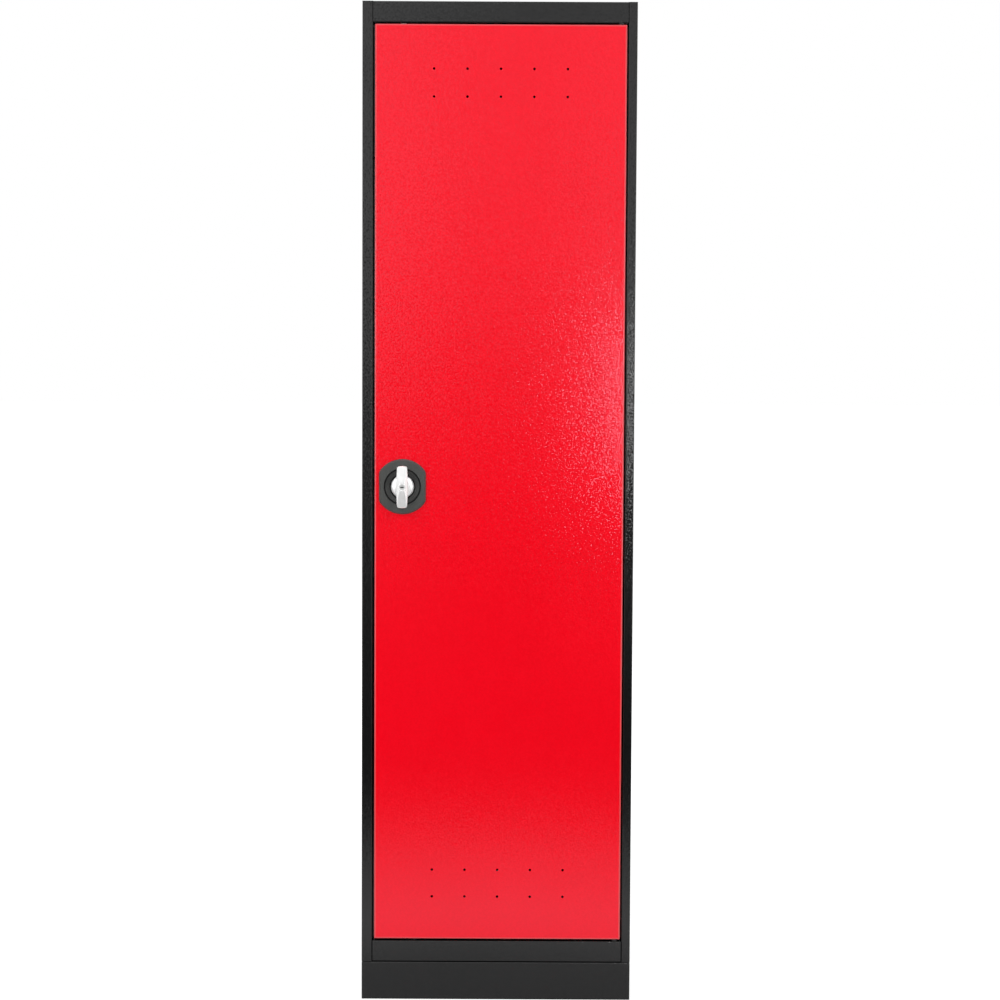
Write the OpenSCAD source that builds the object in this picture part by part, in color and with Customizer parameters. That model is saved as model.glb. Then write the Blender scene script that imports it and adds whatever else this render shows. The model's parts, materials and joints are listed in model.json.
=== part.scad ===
// Tall storage cabinet: a folded steel carcass on a plinth, one inset door on hidden pins,
// a turn handle that throws two rods and a side tongue, and four shelves on clips.
// Millimetres. X runs to the right, Y to the back and Z up. The origin lies on the floor,
// in the middle of the carcass. At rest the door is shut and its lock is drawn back.

/* [Carcass] */
// Width over the side panels
body_w = 500; // [440:1:620]
// Depth from the front frame to the back panel
body_d = 450; // [380:1:600]
// Height from the floor to the top
body_h = 1840; // [1800:1:2100]
// Thickness of the folded sheet
sheet_t = 0.8; // [0.6:0.1:1.2]
// Radius of every fold, at the middle of the sheet
fold_r = 1.3; // [1:0.1:1.8]
// Width of the stile on the lock side
stile_lock_w = 19.2; // [16:0.1:30]
// Width of the stile on the hinge side
stile_hinge_w = 16; // [16:0.1:30]
// Height of the rail over the door
top_rail_h = 38; // [34:0.5:60]
// Height of the rail under the door
bottom_rail_h = 40; // [34:0.5:60]
// Depth of the top rail's lower lip
rail_lip_d = 25; // [22:0.5:32]
// Height of the fold at the back of that lip
rail_hem_h = 10; // [6:0.5:14]
// Width of the lip that the door shuts against
stop_lip_w = 12; // [10:0.5:16]
// Width of the flange behind each side panel
rear_flange_w = 15; // [12:0.5:25]
// Width of the flange under each side panel
foot_flange_w = 20; // [18:0.5:30]
// Height of the side and rear flanges of the top and bottom panels
panel_flange_h = 28; // [20:0.5:30]
// Distance from a panel edge to its row of rivets
rivet_edge = 14; // [10:0.5:18]

/* [Plinth] */
// Height of the plinth
plinth_h = 70; // [50:1:120]
// Thickness of the plinth's sheet
plinth_t = 1; // [0.8:0.1:1.5]
// Width of the plinth's top flange
plinth_top_w = 26; // [24:0.5:34]
// Width of the plinth's bottom flange
plinth_foot_w = 15; // [10:0.5:24]
// Radius of the plinth's edges
plinth_r = 2; // [1.6:0.1:3]

/* [Back panel] */
// Distance of each rib from the middle of the back
rib_x = 95; // [60:1:120]
// Width of a rib's flat crest
rib_w = 28; // [16:1:40]
// Depth of a rib
rib_d = 5; // [3:0.5:8]
// Distance of a rib's ends from the panel's ends
rib_end = 120; // [90:1:200]
// Radius of a wall-fixing hole
wall_hole_r = 4; // [3:0.25:5]
// Sideways distance between the wall-fixing holes
wall_hole_dx = 340; // [300:1:360]
// Upright distance between the wall-fixing holes
wall_hole_dz = 1440; // [1400:1:1460]
// Height of the lower wall-fixing holes
wall_hole_z = 250; // [220:1:280]

/* [Door] */
// Depth of the door
door_t = 20; // [18:0.5:24]
// Thickness of the door's sheet
door_sheet = 0.8; // [0.6:0.1:1.2]
// Outer radius of the door's folded edges
door_r = 2.4; // [1.5:0.1:3]
// Width of the flange round the door's back
door_flange_w = 15; // [12:0.5:20]
// Gap on the lock side
gap_lock = 3.8; // [2:0.1:4]
// Gap on the hinge side
gap_hinge = 2.8; // [2:0.1:3]
// Gap over the door
gap_top = 2.9; // [2.5:0.1:4]
// Gap under the door
gap_bottom = 3.8; // [2.5:0.1:5]
// Space between the door's back and the stop lips
stop_gap = 4; // [4:0.1:6]
// Radius of a vent hole
vent_r = 2.3; // [1.5:0.1:4]
// Vent holes in a row
vent_cols = 5; // [3:1:6]
// Rows of vent holes in a group
vent_rows = 2; // [1:1:3]
// Distance between the holes of a row
vent_dx = 60.8; // [30:0.1:66]
// Distance between the rows
vent_dz = 50.3; // [20:0.1:60]
// Distance from the door's top and bottom edges to the nearest row
vent_edge = 80.3; // [50:0.1:90]
// Width of the door's stiffener
stiff_w = 50; // [30:1:80]
// Width of the stiffener's welded flanges
stiff_flange_w = 12; // [8:0.5:18]
// Distance of the stiffener from the middle of the door
stiff_x = 40; // [20:1:60]
// Distance of the stiffener's ends from the door's ends
stiff_end = 190; // [180:1:260]

/* [Hinge] */
// Distance of the hinge axis from the door's edge
pivot_in = 10; // [9:0.1:10.5]
// Distance of the hinge axis behind the door's face
pivot_back = 7; // [6.5:0.1:7.5]
// Radius of the hinge pins
pin_r = 3; // [2.5:0.1:3.2]
// Radius of a bush's neck
bush_r = 4.5; // [4:0.1:4.8]
// Radius of a bush's flange
bush_flange_r = 6; // [5.4:0.1:6.4]
// Length of a bush's neck
bush_neck = 8; // [5:0.5:12]
// Thickness of the hinge brackets
bracket_t = 2.5; // [2:0.1:3.5]
// Width of the hinge brackets
bracket_w = 34; // [26:1:50]
// Height of the hinge brackets
bracket_h = 45; // [30:1:70]
// Radius of the collar on a hinge pin
collar_r = 4.5; // [4:0.1:5]
// Height of that collar
collar_h = 4; // [2:0.5:8]
// Length of a hinge pin inside the door
pin_tail = 16; // [10:0.5:30]

/* [Lock] */
// Distance of the lock's axis from the door's edge
lock_in = 51.5; // [51.5:0.1:70]
// Height of the lock's axis over the middle of the door
lock_up = 1; // [-20:0.5:20]
// Radius of the escutcheon
esc_r = 50.8; // [50.5:0.1:54]
// Width of the escutcheon between its flat sides
esc_w = 86; // [84:0.5:92]
// Height of the escutcheon over the door's face
esc_h = 4.5; // [3.5:0.1:6]
// Radius of the escutcheon's corners
esc_corner_r = 14; // [4:0.5:20]
// Width of the escutcheon's sloped edge
esc_bevel = 2.6; // [1:0.1:3]
// Radius of the dish round the handle
dish_r = 34.1; // [32:0.1:35]
// Width of the groove round the dish
groove_w = 2.3; // [1.5:0.1:3.5]
// Depth of the groove
groove_d = 4; // [2:0.1:4.5]
// Depth of the dial inside the groove, under the escutcheon's face
dial_d = 1.2; // [0.6:0.1:2]
// Depth of the dish's floor behind the door's face
dish_floor = 3.5; // [3:0.1:5]
// Thickness of the dish
dish_t = 2; // [1.5:0.1:3]
// Radius of the handle's hub
hub_r = 21.2; // [19:0.1:23]
// Height of the hub's rim
hub_rim_h = 3.4; // [2:0.1:5]
// Height of the hub's dome over its rim
hub_dome_h = 8; // [5:0.1:10]
// Length of the grip
grip_l = 77.4; // [70:0.1:86]
// Width of the grip at the hub
grip_w = 22.5; // [19:0.1:24]
// Width of the grip at its ends
grip_end_w = 17.8; // [16:0.1:20]
// Width of the grip's crest
grip_crest_w = 10.2; // [9:0.1:14]
// Height of the grip over the escutcheon
grip_h = 20; // [16:0.1:28]
// Height of the slope beside the grip's crest
grip_slope = 4.4; // [2:0.1:8]
// Drop of the grip's crest towards its ends
grip_drop = 4; // [1:0.1:7]
// Gap under the grip, over the escutcheon
grip_gap = 1.5; // [1:0.1:4]
// Radius of the handle's journal
journal_r = 12; // [10.5:0.1:14]
// Radius of the key barrel
barrel_r = 7.6; // [7:0.1:8.2]
// Radius of the key plug
plug_r = 4.9; // [4.4:0.1:5.4]
// Width of the keyway
keyway_w = 6.6; // [5:0.1:7.2]
// Height of the keyway
keyway_h = 2; // [1.2:0.1:2.6]
// Width of the lock case
case_w = 72; // [68:0.5:76]
// Height of the lock case
case_h = 88; // [86:0.5:90]
// Depth of the lock case
case_t = 7; // [6:0.1:7.4]
// Sideways distance of a lock screw from the axis
screw_x = 27.5; // [26:0.1:30]
// Upright distance of a lock screw from the axis
screw_z = 37; // [36:0.1:38]
// Radius of a lock screw
screw_r = 2; // [1.5:0.1:2.2]
// Side of the square spindle
spindle_a = 7; // [6:0.1:7.2]
// Distance of the cam's studs from the axis
cam_r = 18; // [18:0.1:19]
// Thickness of the cam plate
cam_t = 3; // [2:0.1:3.2]
// Radius of the cam's studs
stud_r = 2.5; // [2:0.1:2.7]
// Radius of the lock rods
rod_r = 5; // [4.5:0.1:5.2]
// Thickness of the rods' end plates
yoke_t = 2.5; // [2:0.1:2.8]
// Height of a rod's end plate over the rod
yoke_weld = 14; // [12:0.5:18]
// How far the upper rod stands out of the door when drawn back
rod_proud = 2; // [1:0.1:2.1]
// How far the lower rod stands out of the door when drawn back
rod_proud_low = 0.5; // [0.2:0.1:2.1]
// Distance of the inner rod guides from the lock's axis
guide_in = 140; // [120:1:200]
// Distance of the outer rod guides from the door's ends
guide_end = 60; // [40:1:90]
// Length of the side tongue from the lock's axis
tongue_l = 52; // [49:0.5:54]
// Width of the side tongue
tongue_w = 20; // [16:0.5:24]
// Thickness of the side tongue
tongue_t = 3; // [2:0.1:4]

/* [Shelves] */
// Shelves
shelf_count = 4; // [1:1:4]
// Height of a shelf's folded edge
shelf_t = 25; // [18:0.5:30]
// Width of the return under a shelf's edges
shelf_return = 12; // [10:0.5:16]
// Distance of the shelves behind the cabinet's front
shelf_setback = 45; // [42:0.5:70]
// Distance of the shelves from the cabinet's back
shelf_back_gap = 20; // [16:0.5:30]
// Slot that holds the lowest shelf's clips
shelf_first_slot = 6; // [3:1:6]
// Slots from one shelf to the next
shelf_step = 7; // [4:1:7]
// Distance between the slots
slot_pitch = 50; // [40:1:50]
// Width of an upright
upright_w = 26; // [22:0.5:34]
// Depth of an upright
upright_d = 10; // [9:0.5:14]
// Width of an upright's welded flanges
upright_flange_w = 8; // [6:0.5:12]
// Distance of the uprights from the cabinet's front and back
upright_in = 70; // [66:1:100]
// Thickness of a shelf clip
clip_t = 1.5; // [1.2:0.1:2]
// Reach of a clip under the shelf
clip_reach = 12; // [8:0.5:14]
// Width of a clip
clip_w = 14; // [10:0.5:18]

/* [Hidden] */
$fn = 48;

// Colours
charcoal = [0.19, 0.19, 0.19];
red = [0.93, 0.07, 0.13];
black = [0.13, 0.13, 0.13];
zinc = [0.72, 0.73, 0.74];
silver = [0.86, 0.86, 0.86];
nylon = [0.92, 0.92, 0.90];

// Clearances
seat_gap = 0.1;      // between sheets that are fastened together
foot_gap = 0.4;      // under a side panel's upright sheet, beside its foot flange
rail_foot_gap = 1.4; // between the bottom rail and the plinth
seam_gap = 0.4;      // at a seam between two panels
low_seam_gap = 1;    // between the bottom rail and the stiles
rest_gap = 0.3;      // between a moving piece and what carries it
run_gap = 0.05;      // round a turning pin, or a pin in its hole
slide_gap = 0.4;     // round a sliding rod
cam_gap = 0.75;      // over and under a stud in its slot
poke = 1;            // how far a cutting solid runs past a face

// Small standard parts
rivet_r = 1.6;
rivet_head_r = 3.2;
rivet_head_h = 0.9;
rivet_tail_r = 2.3;
rivet_tail_h = 1.5;
bolt_r = 3;
bolt_head_r = 5.5;
bolt_head_h = 4;
bolt_tail = 10;
nut_h = 5;
hole_play = 0.3;
buffer_r = 5;
buffer_stem_r = 1.8;
buffer_stem_l = 2.2;
buffer_edge = 240;   // from the door's ends to the outer buffers
buffer_mid = 150;    // from the lock's axis up to the middle buffer
screw_head_r = 3.6;
screw_head_h = 2.2;
screw_bite = 3;
sleeve_r = 6;
washer_h = 1.2;
spindle_tail = 7.5;
boss_r = 5;
guide_w = 24;
guide_h = 14;
guide_wall = 2;
rod_bush_wall = 0.8;
rod_bush_rim = 0.9;
rod_bush_rim_h = 1.2;
rod_bush_neck = 7;
rod_tip = 1;         // chamfer at a rod's tip
keeper_play = 2;     // round a rod in the frame's keeper hole
bolt_x_in = 11;      // plinth bolts, from the outer side of the carcass
bolt_y_in = 60;      // plinth bolts, from the front and the back

// Small sizes of the lock
esc_rim = 1;         // height of the escutcheon's upright edge
dish_wall = 1.4;
hub_play = 1.5;      // round the hub in the dial
well_slope = 1;      // width of the slope round that hollow
dial_round = 0.6;    // at the dial's edge
case_corner_r = 4;
crest_rim = 1;       // round the key barrel on the grip's crest
grip_crown = 1.4;    // bulge of the grip's ends
grip_draft = 0.8;    // lean of the grip's sides
grip_corner_r = 3.2; // at the grip's ends, seen from the front
grip_end_r = 3;      // at the grip's ends, seen from the side
grip_edge_r = 1.2;   // along the grip's edges
barrel_sink = 3;     // the key barrel's depth behind the dish's floor
barrel_floor = 3;    // thickness of the key barrel's closed end
barrel_chamfer = 0.8;
barrel_dish = 0.6;   // depth of the barrel's front round the plug
plug_sink = 0.2;     // the plug's front behind the barrel's
keyway_d = 14;
socket_d = 4;        // the spindle's depth in the handle
cam_rim = 5;         // round a stud in the cam plate
yoke_rim = 3;        // round the slot of a rod's end plate
yoke_inner_rim = 2.3; // the same, towards the lock's axis
tongue_gap = 3;      // between the stop lip and the side tongue
rod_case_gap = 3;    // between the lock case and a rod

// Planes of the carcass
half_w = body_w / 2;
front_y = -body_d / 2;
back_y = body_d / 2;
web_in = half_w - sheet_t;
floor_z = plinth_h + bottom_rail_h;
lip_z = body_h - top_rail_h;
plate_z = body_h - sheet_t;
rear_y = back_y - sheet_t - seat_gap;        // outer face of the flanges behind the carcass
panel_x = web_in - seat_gap;                 // outer face of the top and bottom panels' sides

// The lock side is at -1 and the hinge side at 1. A rail ends a seam's gap short of the stile.
function stile_in(side) = half_w - (side < 0 ? stile_lock_w : stile_hinge_w);
function rail_end(side, gap) = stile_in(side) - gap;

// Planes of the door
door_x0 = -stile_in(-1) + gap_lock;
door_x1 = stile_in(1) - gap_hinge;
door_z0 = floor_z + gap_bottom;
door_z1 = lip_z - gap_top;
door_w = door_x1 - door_x0;
door_h = door_z1 - door_z0;
door_cx = (door_x0 + door_x1) / 2;
door_cz = (door_z0 + door_z1) / 2;
skin_y = front_y + door_sheet;
door_back = front_y + door_t;
stop_y = door_back + stop_gap;
stop_back = stop_y + sheet_t;

// The hinge and the lock, from front to back
hinge_x = door_x1 - pivot_in;
hinge_y = front_y + pivot_back;
lock_x = door_x0 + lock_in;
lock_z = door_cz + lock_up;
esc_y = front_y - esc_h;
dish_y = front_y + dish_floor;
case_y = dish_y + dish_t;
cam_y = case_y + case_t + rest_gap;
yoke_y = cam_y + cam_t + 2 * rest_gap;
stud_end_y = yoke_y + yoke_t + 2 * rest_gap;
tongue_y = stop_back + tongue_gap;
tongue_back = tongue_y + tongue_t;
rod_sink = 1;                                // a rod's seat in its end plate
rod_y = yoke_y + rod_sink - rod_r;
hub_y = dish_y - rest_gap;                   // back of the hub
grip_under = esc_y - grip_gap;
grip_top = esc_y - grip_h;
barrel_back = dish_y + barrel_sink;
socket_y = case_y + case_t - rest_gap;       // back end of the journal
rod_start = case_h / 2 + rod_case_gap;
throw_angle = 90;
rod_throw = 2 * cam_r * sin(throw_angle / 2);

// Points and outlines
fold_steps = 3;
corner_steps = 5;
arc_steps = 9;
dome_steps = 8;
function unit(v) = v / norm(v);
function left_of(d) = [-d[1], d[0]];
function spin(v, a) = [v[0] * cos(a) - v[1] * sin(a), v[0] * sin(a) + v[1] * cos(a)];
function turn(a, b) = atan2(a[0] * b[1] - a[1] * b[0], a[0] * b[0] + a[1] * b[1]);
function reverse(v) = [for (i = [len(v) - 1 : -1 : 0]) v[i]];

// The arc of radius r that rounds the corner at b, moved sideways by s
function corner(a, b, c, r, s = 0) =
  let (d1 = unit(b - a), d2 = unit(c - b), t = turn(d1, d2), g = sign(t))
  let (m = b - d1 * r * tan(abs(t) / 2) + left_of(d1) * g * r)
  [for (k = [0 : fold_steps]) m + spin(left_of(d1), t * k / fold_steps) * (s - g * r)];

// One face of a folded strip whose middle follows the path p
function strip_face(p, s, r) = concat(
  [p[0] + s * left_of(unit(p[1] - p[0]))],
  [for (i = [1 : len(p) - 2]) each corner(p[i - 1], p[i], p[i + 1], r, s)],
  [p[len(p) - 1] + s * left_of(unit(p[len(p) - 1] - p[len(p) - 2]))]
);

// Outline of a folded strip of thickness t
function strip(p, t, r) = concat(strip_face(p, t / 2, r), reverse(strip_face(p, -t / 2, r)));

// A closed outline with every corner rounded to r
function rounded(p, r) =
  let (n = len(p))
  [for (i = [0 : n - 1]) each corner(p[(i + n - 1) % n], p[i], p[(i + 1) % n], r)];

function rectangle(x0, x1, y0, y1) = [[x0, y0], [x1, y0], [x1, y1], [x0, y1]];

// Extrusions of a flat outline, from one value to another along an axis
module along_x(x0, x1) translate([x0, 0, 0]) rotate([90, 0, 90]) linear_extrude(x1 - x0) children();
module along_y(y0, y1) translate([0, y1, 0]) rotate([90, 0, 0]) linear_extrude(y1 - y0) children();
module along_z(z0, z1) translate([0, 0, z0]) linear_extrude(z1 - z0) children();

// A box from its lowest to its highest corner
module box(a, b) translate(a) cube(b - a);

// Round pieces about an axis along Y or Z
module disc_y(r, y0, y1) translate([0, y0, 0]) rotate([-90, 0, 0]) cylinder(r = r, h = y1 - y0);
module disc_z(r, z0, z1) translate([0, 0, z0]) cylinder(r = r, h = z1 - z0);
module turned_y(p) rotate([-90, 0, 0]) rotate_extrude() polygon(p);
module turned_z(p) rotate_extrude() polygon(p);

// The left-hand copy of a right-hand piece
module on_side(side) mirror([side < 0 ? 1 : 0, 0, 0]) children();
module at_lock() translate([lock_x, 0, lock_z]) children();
module at_hinge() translate([hinge_x, hinge_y, 0]) children();

// A box with all its edges folded round, as pressed sheet has them
module folded_box(a, b, r) intersection() {
  along_z(a[2], b[2]) polygon(rounded(rectangle(a[0], b[0], a[1], b[1]), r));
  along_x(a[0], b[0]) polygon(rounded(rectangle(a[1], b[1], a[2], b[2]), r));
  along_y(a[1], b[1]) polygon(rounded(rectangle(a[0], b[0], a[2], b[2]), r));
}

// Carcass

rivet_ys = [for (i = [-1 : 1]) i * body_d / 3];
top_rivet_z = body_h - rivet_edge;
bottom_rivet_z = floor_z - rivet_edge;
back_rivet_x = half_w - rear_flange_w / 2;
back_rivet_n = 6;
back_rivet_zs = [for (i = [0 : back_rivet_n - 1])
  floor_z + rivet_edge + i * (plate_z - floor_z - 3 * rivet_edge) / (back_rivet_n - 1)];
buffer_x = -(stile_in(-1) - stop_lip_w / 2);
buffer_zs = [door_z0 + buffer_edge, lock_z + buffer_mid, door_z1 - buffer_edge];

// A rivet with its head on the outside, at z = 0, and its tail behind two sheets
module rivet(r = rivet_r) turned_z([
  [0, rivet_head_h], [rivet_head_r / 2, rivet_head_h], [rivet_head_r, rivet_head_h / 3],
  [rivet_head_r, 0], [r, 0], [r, -rivet_grip], [rivet_tail_r, -rivet_grip],
  [rivet_tail_r, -rivet_grip - rivet_tail_h], [0, -rivet_grip - rivet_tail_h]
]);
rivet_grip = 2 * sheet_t + seat_gap;

module side_rivets_at(z) for (side = [-1, 1], y = rivet_ys)
  on_side(side) translate([half_w, y, z]) rotate([0, 90, 0]) children();

module back_rivets_at() for (side = [-1, 1], z = back_rivet_zs)
  on_side(side) translate([back_rivet_x, back_y, z]) rotate([-90, 0, 0]) children();

module rivet_drill() translate([0, 0, -rivet_grip - poke])
  cylinder(r = rivet_r + run_gap, h = rivet_grip + 2 * poke);

module plinth_bolts_at() for (side = [-1, 1], y = [front_y + bolt_y_in, back_y - bolt_y_in])
  on_side(side) translate([half_w - bolt_x_in, y, plinth_h]) children();

module side_panel(stile_x) {
  mid = sheet_t / 2;
  fold_path = [
    [stile_x - stop_lip_w, stop_y + mid], [stile_x + mid, stop_y + mid],
    [stile_x + mid, front_y + mid], [half_w - mid, front_y + mid],
    [half_w - mid, rear_y - mid], [half_w - rear_flange_w, rear_y - mid]
  ];
  lip_cut = [stile_x - stop_lip_w - poke, stop_y - poke];
  difference() {
    union() {
      along_z(plinth_h + foot_gap, plate_z - seat_gap) polygon(strip(fold_path, sheet_t, fold_r));
      box([half_w - foot_flange_w, stop_back + seam_gap, plinth_h],
        [half_w - mid, rear_y - sheet_t - seam_gap, plinth_h + sheet_t]);
    }
    box([lip_cut[0], lip_cut[1], plinth_h - poke], [stile_x, stop_back + poke, floor_z + seam_gap]);
    box([lip_cut[0], lip_cut[1], lip_z - seam_gap], [stile_x, stop_back + poke, body_h]);
  }
}

module drilled_side_panel(side) difference() {
  on_side(side) side_panel(stile_in(side));
  side_rivets_at(top_rivet_z) rivet_drill();
  side_rivets_at(bottom_rivet_z) rivet_drill();
  back_rivets_at() rivet_drill();
  plinth_bolts_at() disc_z(bolt_r + hole_play, -poke, sheet_t + poke);
  for (z = buffer_zs)
    translate([buffer_x, 0, z]) disc_y(buffer_stem_r + run_gap, stop_y - poke, stop_back + poke);
}

module side_panel_left() color(charcoal) drilled_side_panel(-1);
module side_panel_right() color(charcoal) drilled_side_panel(1);

// A square hole in the frame that takes a rod's end
module keeper_hole(z) {
  a = rod_r + keeper_play;
  box([lock_x - a, rod_y - a, z - poke], [lock_x + a, rod_y + a, z + sheet_t + poke]);
}

module bush_hole(z) at_hinge() disc_z(bush_r + run_gap, z - poke, z + sheet_t + poke);

module top_panel() color(charcoal) {
  mid = sheet_t / 2;
  lip_end = front_y + rail_lip_d;
  rail_path = [
    [lip_end, lip_z + rail_hem_h], [lip_end, lip_z + mid], [front_y + mid, lip_z + mid],
    [front_y + mid, body_h - mid], [rear_y - mid, body_h - mid], [rear_y - mid, body_h - panel_flange_h]
  ];
  side_path = [
    [-panel_x + mid, body_h - panel_flange_h], [-panel_x + mid, body_h - mid],
    [panel_x - mid, body_h - mid], [panel_x - mid, body_h - panel_flange_h]
  ];
  plate_y = front_y + 2 * fold_r;
  flange_end = rear_y - 2 * fold_r;
  difference() {
    union() {
      along_x(-rail_end(-1, seam_gap), rail_end(1, seam_gap)) polygon(strip(rail_path, sheet_t, fold_r));
      along_y(stop_back + seam_gap, flange_end) polygon(strip(side_path, sheet_t, fold_r));
      box([-half_w, plate_y, plate_z], [half_w, back_y, body_h]);
      for (side = [-1, 1])
        on_side(side) box([rail_end(side, seam_gap), front_y, plate_z], [half_w, plate_y + poke, body_h]);
    }
    keeper_hole(lip_z);
    bush_hole(lip_z);
    side_rivets_at(top_rivet_z) rivet_drill();
  }
}

module bottom_panel() color(charcoal) {
  mid = sheet_t / 2;
  top = floor_z - mid;
  rail_low = plinth_h + rail_foot_gap + mid;
  fold_y = rear_y - sheet_t - seam_gap;
  rail_path = [
    [front_y + rail_lip_d, rail_low], [front_y + mid, rail_low],
    [front_y + mid, top], [fold_y - mid, top], [fold_y - mid, floor_z - panel_flange_h]
  ];
  side_path = [
    [-panel_x + mid, floor_z - panel_flange_h], [-panel_x + mid, top],
    [panel_x - mid, top], [panel_x - mid, floor_z - panel_flange_h]
  ];
  difference() {
    union() {
      along_x(-rail_end(-1, low_seam_gap), rail_end(1, low_seam_gap))
        polygon(strip(rail_path, sheet_t, fold_r));
      along_y(stop_back + seam_gap, fold_y - 2 * fold_r) polygon(strip(side_path, sheet_t, fold_r));
    }
    keeper_hole(floor_z - sheet_t);
    bush_hole(floor_z - sheet_t);
    side_rivets_at(bottom_rivet_z) rivet_drill();
  }
}

// The back panel's ribs are pressed inwards
module back_panel() color(charcoal) {
  z0 = plinth_h + seat_gap;
  z1 = plate_z - seat_gap;
  mid = sheet_t / 2;
  slope = rib_d;
  foot = rib_w / 2 + slope;
  crest = back_y - mid - rib_d;
  rib_path = [
    [rib_x - foot - 3 * fold_r, back_y - mid], [rib_x - foot, back_y - mid], [rib_x - rib_w / 2, crest],
    [rib_x + rib_w / 2, crest], [rib_x + foot, back_y - mid], [rib_x + foot + 3 * fold_r, back_y - mid]
  ];
  end_plate = [
    [rib_x - foot, back_y], [rib_x - foot, back_y - sheet_t], [rib_x - rib_w / 2, crest - mid],
    [rib_x + rib_w / 2, crest - mid], [rib_x + foot, back_y - sheet_t], [rib_x + foot, back_y]
  ];
  difference() {
    box([-half_w + seam_gap, back_y - sheet_t, z0], [half_w - seam_gap, back_y, z1]);
    for (side = [-1, 1])
      on_side(side) box([rib_x - foot, back_y - sheet_t - poke, z0 + rib_end],
        [rib_x + foot, back_y + poke, z1 - rib_end]);
    back_rivets_at() rivet_drill();
    for (x = [-1, 1] * wall_hole_dx / 2, z = [wall_hole_z, wall_hole_z + wall_hole_dz])
      translate([x, 0, z]) disc_y(wall_hole_r, back_y - sheet_t - poke, back_y + poke);
  }
  for (side = [-1, 1]) on_side(side) {
    along_z(z0 + rib_end, z1 - rib_end) polygon(strip(rib_path, sheet_t, fold_r));
    for (z = [z0 + rib_end, z1 - rib_end - sheet_t])
      along_z(z, z + sheet_t) polygon(end_plate);
  }
}

module plinth() color(charcoal) difference() {
  folded_box([-half_w, front_y, 0], [half_w, back_y, plinth_h], plinth_r);
  folded_box([-half_w + plinth_t, front_y + plinth_t, plinth_t],
    [half_w - plinth_t, back_y - plinth_t, plinth_h - plinth_t], plinth_r - plinth_t);
  box([-half_w + plinth_foot_w, front_y + plinth_foot_w, -poke],
    [half_w - plinth_foot_w, back_y - plinth_foot_w, plinth_t + poke]);
  box([-half_w + plinth_top_w, front_y + plinth_top_w, plinth_h - plinth_t - poke],
    [half_w - plinth_top_w, back_y - plinth_top_w, plinth_h + poke]);
  plinth_bolts_at() disc_z(bolt_r + hole_play, -plinth_t - poke, poke);
}

module top_panel_rivets() color(charcoal) side_rivets_at(top_rivet_z) rivet();
module bottom_panel_rivets() color(charcoal) side_rivets_at(bottom_rivet_z) rivet();
module back_panel_rivets() color(charcoal) back_rivets_at() rivet();

module plinth_bolts() color(zinc) plinth_bolts_at() {
  translate([0, 0, sheet_t]) cylinder(r = bolt_head_r, h = bolt_head_h, $fn = 6);
  disc_z(bolt_r, -bolt_tail, sheet_t + poke);
}

module plinth_nuts() color(zinc) plinth_bolts_at() translate([0, 0, -plinth_t - nut_h]) difference() {
  cylinder(r = bolt_head_r, h = nut_h, $fn = 6);
  disc_z(bolt_r + run_gap, -poke, nut_h + poke);
}

// Uprights and shelves

slot_h = 14;
slot_w = 4;
clip_play = 0.2;
upright_end_gap = 5;                         // over an upright's top
upright_top = body_h - panel_flange_h - upright_end_gap;
upright_face = panel_x - upright_d;          // the face that the clips hang on
slot_n = floor((upright_top - floor_z - slot_h) / slot_pitch);
function slot_z(k) = floor_z + k * slot_pitch;
function upright_y(end) = end < 0 ? front_y + upright_in : back_y - upright_in + upright_w;
clip_seat = 8;                               // a clip's top over the middle of its slot
clip_foot = 2;                               // a clip's bottom under its slot
hook_drop = 3;                               // a clip's hook under its slot
neck_relief = 1;                             // over and under a clip's neck
shelf_side_gap = 1.2;                        // between a shelf and the uprights
shelf_x = upright_face - shelf_side_gap;
shelf_y0 = front_y + shelf_setback;
shelf_y1 = back_y - shelf_back_gap;
function shelf_slot(i) = shelf_first_slot + (i - 1) * shelf_step;
function shelf_z(i) = slot_z(shelf_slot(i)) + clip_seat + rest_gap;

module upright(side, end) color(charcoal) on_side(side) difference() {
  mid = sheet_t / 2;
  y = upright_y(end);
  base_x = panel_x - mid;
  face_x = upright_face + mid;
  y0 = y - upright_w / 2 + mid;
  y1 = y + upright_w / 2 - mid;
  along_z(floor_z, upright_top) polygon(strip([
    [base_x, y0 - upright_flange_w], [base_x, y0], [face_x, y0],
    [face_x, y1], [base_x, y1], [base_x, y1 + upright_flange_w]
  ], sheet_t, fold_r));
  for (k = [1 : slot_n])
    box([upright_face - poke, y - slot_w / 2, slot_z(k) - slot_h / 2],
      [upright_face + sheet_t + poke, y + slot_w / 2, slot_z(k) + slot_h / 2]);
}

module upright_front_left() upright(-1, -1);
module upright_front_right() upright(1, -1);
module upright_rear_left() upright(-1, 1);
module upright_rear_right() upright(1, 1);

// A clip: a plate on the upright, a neck through its slot, a hook behind and a tab under the shelf
module shelf_clip() {
  hook_x = upright_face + sheet_t + clip_play;
  neck_y = slot_w / 2 - clip_play;
  neck_z = slot_h / 2 - clip_play;
  box([upright_face - clip_t, -clip_w / 2, -slot_h / 2 - clip_foot], [upright_face, clip_w / 2, clip_seat]);
  box([upright_face - clip_reach, -clip_w / 2, clip_seat - clip_t], [upright_face, clip_w / 2, clip_seat]);
  box([upright_face - clip_t, -neck_y, -neck_z + neck_relief],
    [hook_x + clip_t, neck_y, neck_z - neck_relief]);
  box([hook_x, -neck_y, -neck_z - hook_drop], [hook_x + clip_t, neck_y, neck_z - neck_relief]);
}

module shelf_clips() color(zinc) for (i = [1 : shelf_count], side = [-1, 1], end = [-1, 1])
  on_side(side) translate([0, upright_y(end), slot_z(shelf_slot(i))]) shelf_clip();

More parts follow.
